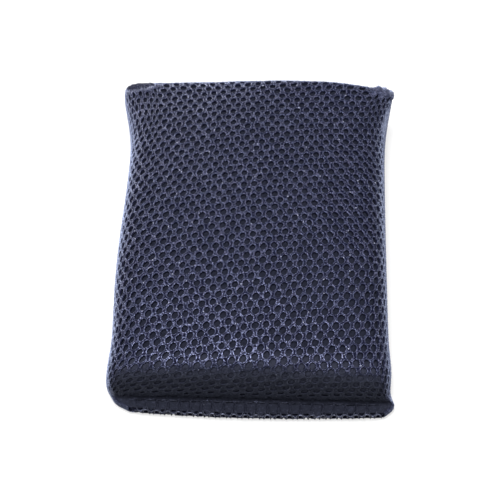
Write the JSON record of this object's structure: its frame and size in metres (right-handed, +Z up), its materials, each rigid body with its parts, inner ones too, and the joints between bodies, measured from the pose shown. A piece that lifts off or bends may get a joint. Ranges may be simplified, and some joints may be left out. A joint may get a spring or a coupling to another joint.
{
  "type": "insect removal sponge",
  "caption": "Soft foam block sewn into a bag of honeycomb mesh fabric, for rubbing dried insects off glass and paint.",
  "frame": {"origin": "under the middle of the foam block, on the surface that the sponge rests on", "axes": "+Z up, +Y along the length towards the turned-in rear seam, -Y towards the closing seam, X across"},
  "size_m": [0.0968, 0.129, 0.0309],
  "materials": {
    "mesh_fabric": "knitted polyester mesh, navy, slight sheen",
    "foam": "open-cell foam, very dark navy, matt",
    "seam_thread": "textured polyester yarn, navy"
  },
  "bodies": {
    "root": {"mesh_cover": "mesh_fabric", "foam_core": "foam", "closing_thread": "seam_thread", "rear_seam_thread": "seam_thread"}
  },
  "joints": []
}
